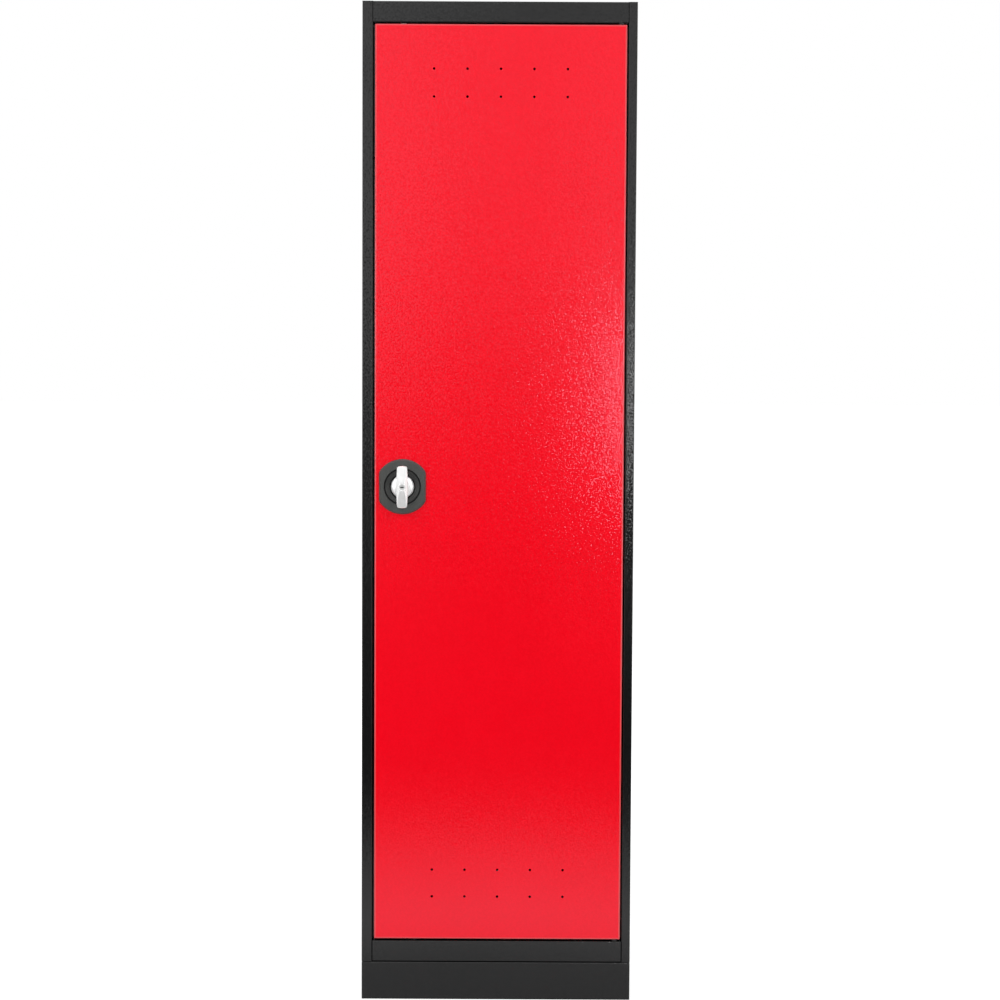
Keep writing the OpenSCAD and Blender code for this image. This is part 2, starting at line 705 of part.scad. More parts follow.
function tray_path(a, b, low, high) = [
  [a + shelf_return, low], [a + sheet_t / 2, low], [a + sheet_t / 2, high],
  [b - sheet_t / 2, high], [b - sheet_t / 2, low], [b - shelf_return, low]
];

module shelf(i) color(charcoal) if (i <= shelf_count) {
  low = shelf_z(i) + sheet_t / 2;
  high = shelf_z(i) + shelf_t - sheet_t / 2;
  notch = 2 * fold_r;
  along_y(shelf_y0 + notch, shelf_y1 - notch)
    polygon(strip(tray_path(-shelf_x, shelf_x, low, high), sheet_t, fold_r));
  along_x(-shelf_x + notch, shelf_x - notch)
    polygon(strip(tray_path(shelf_y0, shelf_y1, low, high), sheet_t, fold_r));
}

module shelf_1() shelf(1);
module shelf_2() shelf(2);
module shelf_3() shelf(3);
module shelf_4() shelf(4);

// Rubber buffers on the lip that the door shuts against
module door_buffers() color(black) for (z = buffer_zs) translate([buffer_x, 0, z]) {
  disc_y(buffer_r, door_back + rest_gap, stop_y);
  disc_y(buffer_stem_r, stop_y - poke, stop_back + buffer_stem_l - poke);
}

// Hinge: a pin in the door's top and bottom, each in a bush in the frame

module hinge_bush_top() color(black) at_hinge() difference() {
  union() {
    disc_z(bush_flange_r, door_z1 + rest_gap, lip_z);
    disc_z(bush_r, lip_z - poke, lip_z + bush_neck);
  }
  disc_z(pin_r + run_gap, door_z1 - poke, lip_z + bush_neck + poke);
}

module hinge_bush_bottom() color(black) at_hinge() difference() {
  union() {
    disc_z(bush_flange_r, floor_z, door_z0 - rest_gap);
    disc_z(bush_r, floor_z - bush_neck, floor_z + poke);
  }
  disc_z(pin_r + run_gap, floor_z - bush_neck - poke, door_z0 + poke);
}

// A bent strip for the door's top; the bottom one is its mirror image
module hinge_bracket() {
  mid = bracket_t / 2;
  x1 = door_x1 - door_sheet - seat_gap;
  z1 = door_z1 - door_sheet - seat_gap;
  difference() {
    along_y(front_y + door_r, door_back - door_r) polygon(strip([
      [x1 - bracket_w, z1 - mid], [x1 - mid, z1 - mid], [x1 - mid, z1 - bracket_h]
    ], bracket_t, bracket_t));
    at_hinge() disc_z(pin_r + run_gap, z1 - bracket_t - poke, z1 + poke);
  }
}

module to_door_bottom() translate([0, 0, 2 * door_cz]) mirror([0, 0, 1]) children();

module hinge_bracket_top() color(zinc) hinge_bracket();
module hinge_bracket_bottom() color(zinc) to_door_bottom() hinge_bracket();

// A pin with a collar under the bracket, up to the given height
module hinge_pin(tip_z) at_hinge() {
  seat_z = door_z1 - door_sheet - 2 * seat_gap - bracket_t;
  disc_z(pin_r, seat_z - pin_tail, tip_z);
  disc_z(collar_r, seat_z - collar_h, seat_z);
}

module hinge_pin_top() color(zinc) hinge_pin(lip_z + bush_neck);
module hinge_pin_bottom() color(zinc) to_door_bottom() hinge_pin(2 * door_cz - floor_z + bush_neck);

// Door

dish_out_r = dish_r + dish_wall;
dial_r = dish_r - groove_w;
well_r = hub_r + hub_play;                   // the hollow in the dial for the hub
lock_screws_xz = [for (x = [-screw_x, screw_x], z = [-screw_z, screw_z]) [x, 0, z]];
rod_bush_r = rod_r + slide_gap + rod_bush_wall;

module at_rod() translate([lock_x, rod_y, 0]) children();

module vent_group(z0, up) for (col = [0 : vent_cols - 1], row = [0 : vent_rows - 1])
  translate([door_cx + (col - (vent_cols - 1) / 2) * vent_dx, 0, z0 + up * row * vent_dz])
    disc_y(vent_r, front_y - poke, skin_y + poke);

module door_panel() color(red) difference() {
  folded_box([door_x0, front_y, door_z0], [door_x1, door_back, door_z1], door_r);
  folded_box([door_x0 + door_sheet, skin_y, door_z0 + door_sheet],
    [door_x1 - door_sheet, door_back - door_sheet, door_z1 - door_sheet], door_r - door_sheet);
  box([door_x0 + door_flange_w, skin_y + poke, door_z0 + door_flange_w],
    [door_x1 - door_flange_w, door_back + poke, door_z1 - door_flange_w]);
  vent_group(door_z1 - vent_edge, -1);
  vent_group(door_z0 + vent_edge, 1);
  at_lock() disc_y(dish_out_r + hole_play, front_y - poke, skin_y + poke);
  at_lock() for (p = lock_screws_xz)
    translate(p) disc_y(screw_r + hole_play, front_y - poke, skin_y + poke);
  for (z = [door_z0 - poke, door_z1 - door_sheet - poke]) {
    at_hinge() disc_z(pin_r + run_gap, z, z + door_sheet + 2 * poke);
    at_rod() disc_z(rod_bush_r + run_gap, z, z + door_sheet + 2 * poke);
  }
}

module door_stiffener() color(red) {
  mid = door_sheet / 2;
  x0 = door_cx + stiff_x - stiff_w / 2;
  x1 = x0 + stiff_w;
  y0 = skin_y + seat_gap + mid;
  y1 = door_back - mid;
  along_z(door_z0 + stiff_end, door_z1 - stiff_end) polygon(strip([
    [x0 - stiff_flange_w, y0], [x0, y0], [x0, y1], [x1, y1], [x1, y0], [x1 + stiff_flange_w, y0]
  ], door_sheet, fold_r));
}

// Lock

function arc_point(r, a) = r * [cos(a), sin(a)];

// One quarter of the escutcheon's outline: its flat side, a corner and part of its round end
function esc_quarter() =
  let (cx = esc_w / 2 - esc_corner_r, far = esc_r - esc_corner_r)
  let (cz = sqrt(far * far - cx * cx), turned = atan2(cz, cx))
  concat(
    [for (k = [0 : corner_steps]) [cx, cz] + arc_point(esc_corner_r, turned * k / corner_steps)],
    [for (k = [1 : arc_steps]) arc_point(esc_r, turned + (90 - turned) * k / arc_steps)]
  );
function flipped(v, gx, gz) = [for (p = v) [gx * p[0], gz * p[1]]];
function esc_outline() = let (q = esc_quarter()) concat(
  q, reverse(flipped(q, -1, 1)), flipped(q, -1, -1), reverse(flipped(q, 1, -1))
);

// A plate with two flat sides and a sloped edge, and a dish that passes through the door
module lock_escutcheon() color(black) at_lock() difference() {
  union() {
    intersection() {
      along_y(esc_y - poke, front_y) polygon(esc_outline());
      turned_y([
        [0, front_y], [0, esc_y], [esc_r - esc_bevel, esc_y], [esc_r, front_y - esc_rim], [esc_r, front_y]
      ]);
      along_z(-esc_r, esc_r) polygon([
        [-esc_w / 2, front_y], [-esc_w / 2, front_y - esc_rim], [-esc_w / 2 + esc_bevel, esc_y],
        [esc_w / 2 - esc_bevel, esc_y], [esc_w / 2, front_y - esc_rim], [esc_w / 2, front_y]
      ]);
    }
    disc_y(dish_out_r, front_y - poke, dish_y + dish_t);
  }
  turned_y([
    [0, dish_y], [well_r, dish_y], [well_r + well_slope, esc_y + 2 * dial_d],
    [dial_r - dial_round, esc_y + dial_d], [dial_r, esc_y + dial_d + dial_round],
    [dial_r, esc_y + groove_d], [dish_r, esc_y + groove_d], [dish_r, esc_y - poke], [0, esc_y - poke]
  ]);
  disc_y(journal_r + run_gap, esc_y, case_y + poke);
  for (p = lock_screws_xz)
    translate(p) disc_y(screw_r + run_gap, front_y - screw_bite - rest_gap, front_y + poke);
}

module lock_case() color(zinc) at_lock() difference() {
  union() {
    along_y(case_y, case_y + case_t)
      polygon(rounded(rectangle(-case_w / 2, case_w / 2, -case_h / 2, case_h / 2), case_corner_r));
    for (p = lock_screws_xz) translate(p) disc_y(boss_r, skin_y, case_y + poke);
  }
  disc_y(journal_r + run_gap, case_y - poke, case_y + case_t + poke);
  for (p = lock_screws_xz) translate(p) disc_y(screw_r + run_gap, skin_y - poke, case_y + case_t + poke);
}

module lock_screws() color(zinc) at_lock() for (p = lock_screws_xz) translate(p) {
  disc_y(screw_r, front_y - screw_bite, case_y + case_t + poke);
  disc_y(screw_head_r, case_y + case_t, case_y + case_t + screw_head_h);
}

// The grip is what three outlines share: seen from the front, from the side and end on
module grip() intersection() {
  end_z = grip_l / 2;
  corner_z = end_z - grip_crown;
  low_y = grip_top + grip_drop;
  flat_z = barrel_r + crest_rim;
  slope_y = grip_top + grip_slope;
  along_y(grip_top - poke, hub_y) polygon(rounded([
    [0, -end_z], [grip_end_w / 2, -corner_z], [grip_w / 2, 0], [grip_end_w / 2, corner_z],
    [0, end_z], [-grip_end_w / 2, corner_z], [-grip_w / 2, 0], [-grip_end_w / 2, -corner_z]
  ], grip_corner_r));
  along_x(-grip_w, grip_w) polygon(rounded([
    [grip_under, -end_z], [grip_under, end_z], [low_y, end_z], [grip_top, flat_z],
    [grip_top, -flat_z], [low_y, -end_z]
  ], grip_end_r));
  along_z(-end_z, end_z) polygon(rounded([
    [-grip_w / 2, grip_under], [grip_w / 2, grip_under], [grip_w / 2 - grip_draft, slope_y],
    [grip_crest_w / 2, grip_top], [-grip_crest_w / 2, grip_top], [grip_draft - grip_w / 2, slope_y]
  ], grip_edge_r));
}

// The grip stands across a domed hub, whose journal turns in the dish and the case
module turn_handle() color(silver) at_lock() difference() {
  rim_y = hub_y - hub_rim_h;
  dome_r = barrel_r + crest_rim;
  dome_step = 90 / dome_steps;
  union() {
    turned_y(concat(
      [[0, hub_y], [hub_r, hub_y]],
      [for (k = [0 : dome_steps])
        [dome_r + (hub_r - dome_r) * cos(k * dome_step), rim_y - hub_dome_h * sin(k * dome_step)]],
      [[0, rim_y - hub_dome_h]]
    ));
    grip();
    disc_y(journal_r, hub_y - poke, socket_y);
  }
  disc_y(barrel_r + run_gap, grip_top - poke, barrel_back);
  spindle_square(spindle_a + 2 * run_gap, socket_y - socket_d - run_gap, socket_y + poke);
}

module spindle_square(a, y0, y1) box([-a / 2, y0, -a / 2], [a / 2, y1, a / 2]);

module key_barrel() color(silver) at_lock() difference() {
  turned_y([
    [0, barrel_back], [barrel_r, barrel_back], [barrel_r, grip_top],
    [barrel_r - barrel_chamfer, grip_top - barrel_dish], [plug_r + barrel_dish, grip_top - barrel_dish],
    [plug_r, grip_top], [0, grip_top]
  ]);
  disc_y(plug_r + run_gap, grip_top - poke, barrel_back - barrel_floor);
}

module key_plug() color(zinc) at_lock() difference() {
  disc_y(plug_r, grip_top + plug_sink, barrel_back - barrel_floor - rest_gap);
  box([-keyway_w / 2, grip_top - poke, -keyway_h / 2], [keyway_w / 2, grip_top + keyway_d, keyway_h / 2]);
}

module lock_spindle() color(zinc) at_lock() {
  spindle_square(spindle_a, socket_y - socket_d, tongue_back);
  disc_y(bolt_r, tongue_back - poke, tongue_back + spindle_tail);
}

module cam_plate() color(zinc) at_lock() difference() {
  half = stud_r + cam_rim;
  rotate([0, -45, 0]) {
    box([-cam_r, cam_y, -half], [cam_r, cam_y + cam_t, half]);
    for (x = [-cam_r, cam_r]) translate([x, 0, 0]) disc_y(half, cam_y, cam_y + cam_t);
  }
  spindle_square(spindle_a + 2 * run_gap, cam_y - poke, cam_y + cam_t + poke);
  cam_studs_at() disc_y(stud_r + run_gap, cam_y - poke, cam_y + cam_t + poke);
}

// At rest one stud is at the lower left and the other at the upper right
module cam_studs_at() for (g = [-1, 1])
  translate([g * cam_r * cos(throw_angle / 2), 0, g * cam_r * sin(throw_angle / 2)]) children();

module cam_studs() color(zinc) at_lock() cam_studs_at() disc_y(stud_r, cam_y, stud_end_y);

module spacer_sleeve() color(zinc) at_lock() difference() {
  disc_y(sleeve_r, cam_y + cam_t, tongue_y);
  disc_y(spindle_a * sqrt(2) / 2 + run_gap, cam_y + cam_t - poke, tongue_y + poke);
}

// The tongue hangs down at rest and points to the stile when it is thrown
module lock_tongue() color(zinc) at_lock() difference() {
  union() {
    box([-tongue_w / 2, tongue_y, -tongue_l + tongue_w / 2], [tongue_w / 2, tongue_back, 0]);
    disc_y(tongue_w / 2, tongue_y, tongue_back);
    translate([0, 0, -tongue_l + tongue_w / 2]) disc_y(tongue_w / 2, tongue_y, tongue_back);
  }
  spindle_square(spindle_a + 2 * run_gap, tongue_y - poke, tongue_back + poke);
}

module spindle_washer() color(zinc) at_lock() difference() {
  disc_y(sleeve_r + 1, tongue_back, tongue_back + washer_h);
  disc_y(bolt_r + run_gap, tongue_back - poke, tongue_back + washer_h + poke);
}

module spindle_nut() color(zinc) at_lock() translate([0, tongue_back + washer_h, 0]) difference() {
  rotate([-90, 0, 0]) cylinder(r = bolt_head_r, h = nut_h, $fn = 6);
  disc_y(bolt_r + run_gap, -poke, nut_h + poke);
}

// Rods

// The upper rod with its end plate, whose slot holds the cam's left stud
module rod_with_yoke(tip_z) {
  slot_low = cam_r * cos(throw_angle / 2) - stud_r - cam_gap;
  slot_high = cam_r + stud_r + cam_gap;
  slot_mid = -cam_r * sin(throw_angle / 2);
  slot_half = stud_r + cam_gap;
  inner = slot_low - yoke_inner_rim;
  outer = slot_high + yoke_rim;
  yoke_low = slot_mid - slot_half - yoke_rim;
  yoke_top = rod_start + yoke_weld;
  difference() {
    along_y(yoke_y, yoke_y + yoke_t) polygon([
      [-outer, yoke_low], [-inner, yoke_low], [-inner, rod_start],
      [rod_r + yoke_rim, rod_start], [rod_r + yoke_rim, yoke_top], [-outer, yoke_top]
    ]);
    box([-slot_high, yoke_y - poke, slot_mid - slot_half],
      [-slot_low, yoke_y + yoke_t + poke, slot_mid + slot_half]);
  }
  translate([0, rod_y, 0]) turned_z([
    [0, rod_start], [rod_r, rod_start], [rod_r, tip_z - rod_tip], [rod_r - rod_tip, tip_z], [0, tip_z]
  ]);
}

module upper_rod() color(zinc) at_lock() rod_with_yoke(door_z1 + rod_proud - lock_z);
module lower_rod() color(zinc) at_lock() rotate([0, 180, 0])
  rod_with_yoke(lock_z - door_z0 + rod_proud_low);

module rod_guides() color(nylon) at_rod() for (z = [
  lock_z + guide_in, lock_z - guide_in, door_z1 - guide_end, door_z0 + guide_end
]) difference() {
  box([-guide_w / 2, skin_y - rod_y, z - guide_h / 2],
    [guide_w / 2, rod_r + slide_gap + guide_wall, z + guide_h / 2]);
  disc_z(rod_r + slide_gap, z - guide_h, z + guide_h);
}

// Shaped for the door's top; the bottom one is its mirror image
module rod_bush() at_rod() difference() {
  union() {
    disc_z(rod_bush_r + rod_bush_rim, door_z1, door_z1 + rod_bush_rim_h);
    disc_z(rod_bush_r, door_z1 - rod_bush_neck, door_z1 + rod_bush_rim_h);
  }
  disc_z(rod_r + slide_gap, door_z1 - rod_bush_neck - poke, door_z1 + rod_bush_rim_h + poke);
}

module rod_bush_top() color(nylon) rod_bush();
module rod_bush_bottom() color(black) to_door_bottom() rod_bush();

side_panel_left();
side_panel_right();
top_panel();
bottom_panel();
back_panel();
plinth();
top_panel_rivets();
bottom_panel_rivets();
back_panel_rivets();
plinth_bolts();
plinth_nuts();
upright_front_left();
upright_front_right();
upright_rear_left();
upright_rear_right();
shelf_clips();
door_buffers();
hinge_bush_top();
hinge_bush_bottom();
door_panel();
door_stiffener();
hinge_bracket_top();
hinge_bracket_bottom();
hinge_pin_top();
hinge_pin_bottom();
lock_escutcheon();
lock_case();
lock_screws();
rod_guides();
rod_bush_top();
rod_bush_bottom();
turn_handle();
key_barrel();
lock_spindle();
cam_plate();
cam_studs();
spacer_sleeve();
lock_tongue();
spindle_washer();
spindle_nut();
key_plug();
upper_rod();
lower_rod();
shelf_1();
shelf_2();
shelf_3();
shelf_4();
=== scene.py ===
import json
import math

import bpy
from mathutils import Matrix, Vector


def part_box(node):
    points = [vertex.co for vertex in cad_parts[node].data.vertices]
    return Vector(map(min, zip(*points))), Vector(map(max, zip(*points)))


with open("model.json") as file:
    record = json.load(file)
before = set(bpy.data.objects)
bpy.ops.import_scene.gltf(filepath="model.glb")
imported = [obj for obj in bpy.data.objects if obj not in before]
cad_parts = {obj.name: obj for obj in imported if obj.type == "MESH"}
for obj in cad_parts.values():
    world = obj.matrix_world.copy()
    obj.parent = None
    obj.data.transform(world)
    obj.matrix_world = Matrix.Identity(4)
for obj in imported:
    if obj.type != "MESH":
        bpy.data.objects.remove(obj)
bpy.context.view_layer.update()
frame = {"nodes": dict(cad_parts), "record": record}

# Places that the looks are built from
door_low, door_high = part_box("door_panel")
plinth_low, plinth_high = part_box("plinth")
front_y = plinth_low.y
plug_low, plug_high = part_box("key_plug")
lock_x, lock_z = (plug_low.x + plug_high.x) / 2, (plug_low.z + plug_high.z) / 2

# Rings round the lock's axis in which one tone turns into the next; in the groove and in a ring round the
# hub the tone is a painted shade
DISH_RADIUS = 0.0341
DIAL_RADIUS = DISH_RADIUS - 0.0023
HUB_RADIUS = 0.0212
PLATE_RING = (DISH_RADIUS, DISH_RADIUS + 0.0003)
DIAL_RING = (DIAL_RADIUS - 0.0006, DIAL_RADIUS)
HUB_RING = (HUB_RADIUS + 0.0014, HUB_RADIUS + 0.0026)
LOCK_RING = (0.06, 0.07)

# The keyway, with a little more on each side, inside which the plug's colour is painted near-black as
# shade
KEYWAY_HALF_WIDTH = 0.0033 + 0.00005
KEYWAY_HALF_HEIGHT = 0.001 + 0.00005

# Where the door's folded edges get a painted highlight: the distance from the door's outline and the depth
# behind its face
EDGE_HIGHLIGHT_MARGIN = (0.0021, 0.0035)
EDGE_HIGHLIGHT_DEPTH = (0.003, 0.005)


# Node helpers

class Nodes:
    """The node tree of a material or a world, with one short call for each kind of node."""

    def __init__(self, name, world=False):
        self.owner = (bpy.data.worlds if world else bpy.data.materials).new(name)
        self.owner.use_nodes = True
        self.tree = self.owner.node_tree
        self.tree.nodes.clear()
        self.output = self.add("ShaderNodeOutputWorld" if world else "ShaderNodeOutputMaterial")

    def add(self, kind, settings=None, **inputs):
        node = self.tree.nodes.new(kind)
        for key, value in (settings or {}).items():
            setattr(node, key, value)
        for key, value in inputs.items():
            self.set(node, key.replace("_", " "), value)
        return node

    def set(self, node, key, value):
        socket = node.inputs[key]
        if isinstance(value, bpy.types.NodeSocket):
            self.tree.links.new(value, socket)
        else:
            socket.default_value = value

    def math(self, operation, a, b=0.0):
        node = self.add("ShaderNodeMath", {"operation": operation})
        self.set(node, 0, a)
        self.set(node, 1, b)
        return node.outputs[0]

    def vector_math(self, operation, *vectors):
        node = self.add("ShaderNodeVectorMath", {"operation": operation})
        for i, vector in enumerate(vectors):
            self.set(node, i, vector)
        return node.outputs["Vector"]

    def remap(self, value, low, high, to_low=0.0, to_high=1.0):
        node = self.add("ShaderNodeMapRange", {"clamp": True})
        for key, v in zip(("Value", "From Min", "From Max", "To Min", "To Max"),
                          (value, low, high, to_low, to_high)):
            self.set(node, key, v)
        return node.outputs["Result"]

    def spread(self, noise, low=0.0, high=1.0):
        """A noise, most of which lies between 0.3 and 0.7, spread from a low value to a high one."""
        return self.remap(noise, 0.3, 0.7, low, high)

    def mix(self, factor, a, b):
        node = self.add("ShaderNodeMix", {"data_type": "RGBA"})
        self.set(node, 0, factor)
        self.set(node, 6, a)
        self.set(node, 7, b)
        return node.outputs[2]

    def place(self):
        return self.add("ShaderNodeTexCoord").outputs["Object"]

    def axes(self, vector=None):
        return self.add("ShaderNodeSeparateXYZ", Vector=vector or self.place()).outputs

    def noise(self, scale, detail=2.0, roughness=0.5):
        node = self.add("ShaderNodeTexNoise", {"noise_dimensions": "3D"},
                        Vector=self.place(), Scale=scale, Detail=detail, Roughness=roughness)
        return node.outputs["Fac"]

    def bevel(self, radius):
        """The normal, rounded off at sharp edges."""
        return self.add("ShaderNodeBevel", {"samples": 4}, Radius=radius).outputs["Normal"]

    def bump(self, height, distance, strength, normal=None):
        node = self.add("ShaderNodeBump", Height=height, Distance=distance, Strength=strength)
        if normal is not None:
            self.set(node, "Normal", normal)
        return node.outputs["Normal"]

    def facets(self, normal, scale, tilt):
        """The normal, tilted a little at random from grain to grain."""
        grains = self.add("ShaderNodeTexNoise", {"noise_dimensions": "3D"},
                          Vector=self.place(), Scale=scale, Detail=0.0).outputs["Color"]
        lean = self.vector_math("SUBTRACT", grains, (0.5, 0.5, 0.5))
        leaning = self.vector_math("MULTIPLY_ADD", lean, (tilt, tilt, tilt), normal)
        return self.vector_math("NORMALIZE", leaning)

    def surface(self, color, roughness, normal, **constants):
        node = self.add("ShaderNodeBsdfPrincipled", None, Roughness=roughness, Normal=normal)
        self.set(node, "Base Color", color)
        for key, value in constants.items():
            node.inputs[key.replace("_", " ")].default_value = value
        self.tree.links.new(node.outputs["BSDF"], self.output.inputs["Surface"])
        return self.owner


def rgb(r, g, b):
    """A colour in linear levels."""
    return (r, g, b, 1.0)


def srgb(r, g, b):
    """The linear colour of an 8-bit screen colour."""
    def linear(v):
        v /= 255
        return v / 12.92 if v <= 0.04045 else ((v + 0.055) / 1.055) ** 2.4
    return rgb(linear(r), linear(g), linear(b))


# Materials

def powder_coat(name, color, dark, specular, tint=rgb(1.0, 1.0, 1.0), edge_highlight=None):
    """Fine-textured powder coat: glossy grains that lean each its own way, with slow changes of tone.
    Where a pale edge colour is given, it is painted along the door's folded edges as a highlight."""
    m = Nodes(name)
    grain = m.noise(scale=620.0, detail=2.0, roughness=0.6)
    peel = m.noise(scale=300.0, detail=0.0)
    cloud = m.noise(scale=3.5, detail=3.0, roughness=0.6)
    height = m.math("ADD", m.math("MULTIPLY", grain, 0.05), peel)
    bumps = m.bump(height, distance=0.0001, strength=0.6, normal=m.bevel(0.0005))
    normal = m.facets(bumps, scale=325.0, tilt=0.115)
    shade = m.math("ADD", m.math("MULTIPLY", cloud, 0.5), m.math("MULTIPLY", peel, 0.5))
    base = m.mix(m.remap(shade, 0.35, 0.65), dark, color)
    # Painted highlight: the pale colour is laid in a strip along the door's folded edges
    if edge_highlight:
        where = m.axes()
        middle, half = (door_low + door_high) / 2, (door_high - door_low) / 2
        margins = [m.math("SUBTRACT", h, m.math("ABSOLUTE", m.math("SUBTRACT", where[axis], c)))
                   for axis, c, h in (("X", middle.x, half.x), ("Z", middle.z, half.z))]
        at_edge = m.remap(m.math("MINIMUM", *margins), *EDGE_HIGHLIGHT_MARGIN, 1.0, 0.0)
        in_front = m.remap(where["Y"], *(door_low.y + depth for depth in EDGE_HIGHLIGHT_DEPTH), 1.0, 0.0)
        highlight_strip = m.math("MULTIPLY", at_edge, in_front)
        base = m.mix(m.math("MULTIPLY", highlight_strip, m.spread(cloud, 0.75, 1.0)), base, edge_highlight)
    return m.surface(base, m.spread(peel, 0.08, 0.12), normal,
                     Specular_IOR_Level=specular, Specular_Tint=tint)


def moulded_plastic(name, color, dial, groove):
    """Spark-eroded black plastic. The dial inside the groove is darker. The groove and a ring round the
    hub have a painted shade in near-black, and pieces away from the lock take the same near-black."""
    m = Nodes(name)
    grain = m.noise(scale=1500.0, detail=3.0, roughness=0.6)
    cloud = m.noise(scale=40.0, detail=2.0)
    where = m.axes()
    dx = m.math("SUBTRACT", where["X"], lock_x)
    dz = m.math("SUBTRACT", where["Z"], lock_z)
    radius = m.math("SQRT", m.math("ADD", m.math("MULTIPLY", dx, dx), m.math("MULTIPLY", dz, dz)))
    # Painted shade: in the groove outside the dial and in a ring round the hub, the colour is the
    # near-black groove colour
    on_dial = m.math("MULTIPLY", m.remap(radius, *DIAL_RING, 1.0, 0.0), m.remap(radius, *HUB_RING))
    base = m.mix(on_dial, groove, dial)
    base = m.mix(m.remap(radius, *PLATE_RING), base, color)
    base = m.mix(m.remap(radius, *LOCK_RING), base, groove)
    base = m.mix(m.spread(grain, 0.0, 0.25), base, groove)
    normal = m.bump(m.math("ADD", grain, cloud), distance=0.00004, strength=0.6, normal=m.bevel(0.0004))
    return m.surface(base, m.spread(cloud, 0.34, 0.44), normal, Specular_IOR_Level=0.4)


def satin_silver(name):
    """Die-cast handle in a satin silver finish: soft waves under a fine grain."""
    m = Nodes(name)
    fine = m.noise(scale=900.0, detail=3.0, roughness=0.6)
    wave = m.noise(scale=70.0, detail=1.0)
    height = m.math("ADD", m.math("MULTIPLY", fine, 0.1), wave)
    normal = m.bump(height, distance=0.0001, strength=0.4, normal=m.bevel(0.0006))
    color = m.mix(m.spread(wave), rgb(0.86, 0.87, 0.86), rgb(0.94, 0.94, 0.94))
    return m.surface(color, m.spread(fine, 0.34, 0.44), normal, Metallic=0.55)


def zinc_plate(name):
    """Bright zinc plating with its faint blue and yellow clouds."""
    m = Nodes(name)
    cloud = m.noise(scale=60.0, detail=3.0, roughness=0.6)
    fine = m.noise(scale=900.0, detail=2.0)
    color = m.mix(m.remap(cloud, 0.35, 0.65), rgb(0.60, 0.62, 0.65), rgb(0.72, 0.71, 0.66))
    normal = m.bump(fine, distance=0.00003, strength=0.5, normal=m.bevel(0.0003))
    return m.surface(color, m.spread(cloud, 0.24, 0.42), normal, Metallic=1.0)


def key_plug_metal(name):
    """The plug's satin face. Inside the keyway the colour is painted near-black, a painted shade."""
    m = Nodes(name)
    fine = m.noise(scale=900.0, detail=3.0, roughness=0.6)
    where = m.axes()
    dx = m.math("ABSOLUTE", m.math("SUBTRACT", where["X"], lock_x))
    dz = m.math("ABSOLUTE", m.math("SUBTRACT", where["Z"], lock_z))
    # Painted shade: near-black inside the keyway
    inside = m.math("MULTIPLY", m.math("LESS_THAN", dx, KEYWAY_HALF_WIDTH),
                    m.math("LESS_THAN", dz, KEYWAY_HALF_HEIGHT))
    face = m.mix(m.spread(fine), rgb(0.70, 0.71, 0.70), rgb(0.80, 0.80, 0.79))
    color = m.mix(inside, face, rgb(0.004, 0.004, 0.004))
    normal = m.bump(fine, distance=0.00002, strength=0.5)
    return m.surface(color, m.spread(fine, 0.34, 0.44), normal, Metallic=0.8)


def nylon(name, color):
    """Turned or moulded nylon, slightly waxy."""
    m = Nodes(name)
    cloud = m.noise(scale=120.0, detail=2.0)
    shade = rgb(*(0.86 * level for level in color[:3]))
    normal = m.bump(m.noise(scale=700.0), distance=0.00003, strength=0.5)
    return m.surface(m.mix(cloud, shade, color), m.spread(cloud, 0.38, 0.5), normal)


def rubber(name):
    """Matte rubber with a dusty grain."""
    m = Nodes(name)
    cloud = m.noise(scale=300.0, detail=3.0)
    color = m.mix(cloud, rgb(0.012, 0.012, 0.012), rgb(0.035, 0.035, 0.035))
    return m.surface(color, m.spread(cloud, 0.72, 0.88), m.bump(cloud, distance=0.00005, strength=0.6))


materials = {
    # The red coat's pale edge colour is a painted highlight along the door's folded edges
    "red_powder_coat": powder_coat(
        "red_powder_coat", color=rgb(0.91, 0.0013, 0.0108), dark=rgb(0.86, 0.0010, 0.0088), specular=0.42,
        tint=rgb(1.0, 0.95, 1.25), edge_highlight=rgb(0.72, 0.095, 0.10)),
    "charcoal_powder_coat": powder_coat(
        "charcoal_powder_coat", color=rgb(0.009, 0.009, 0.0092), dark=rgb(0.006, 0.006, 0.0062),
        specular=0.5),
    # The black plastic's near-black groove colour is painted shade in the groove and round the hub, and
    # the own colour of pieces away from the lock
    "black_plastic": moulded_plastic(
        "black_plastic", color=rgb(0.068, 0.072, 0.068), dial=rgb(0.040, 0.042, 0.040),
        groove=rgb(0.003, 0.003, 0.003)),
    "satin_chrome": satin_silver("satin_chrome"),
    "zinc_steel": zinc_plate("zinc_steel"),
    "white_nylon": nylon("white_nylon", srgb(235, 233, 224)),
    "rubber": rubber("rubber"),
}

own_materials = {"key_plug": key_plug_metal("key_plug_metal")}

for part in frame["record"]["subparts"]:
    node = frame["nodes"][part["node"]]
    node.data.materials.clear()
    node.data.materials.append(own_materials.get(part["node"], materials[part["material_slot"]]))
    for face in node.data.polygons:
        face.material_index = 0


# Stage

WHITE = rgb(1.0, 1.0, 1.0)
FLOOR_HALF_WIDTH = 60.0
FLOOR_DROP = 0.0002

# How bright the floor is in a reflection, at distances from the middle of the cabinet's foot
MIRRORED_FLOOR = [(0.22, 0.52), (0.5, 0.6), (0.85, 1.0), (1.15, 0.8), (1.45, 0.63), (1.65, 0.38),
                  (2.0, 0.12), (2.6, 0.0), (10.0, 0.02), (60.0, 0.1)]
# The powers of ten of a metre over which the distances run
DECADES = (-0.7, 1.8)
# Where the dim middle of the room ends, and where the floor beside the cabinet begins: how far to the
# side of the middle a place lies, as a share of how far before or behind it
DARK_MIDDLE = (0.018, 0.046)
BESIDE = (0.5, 1.2)

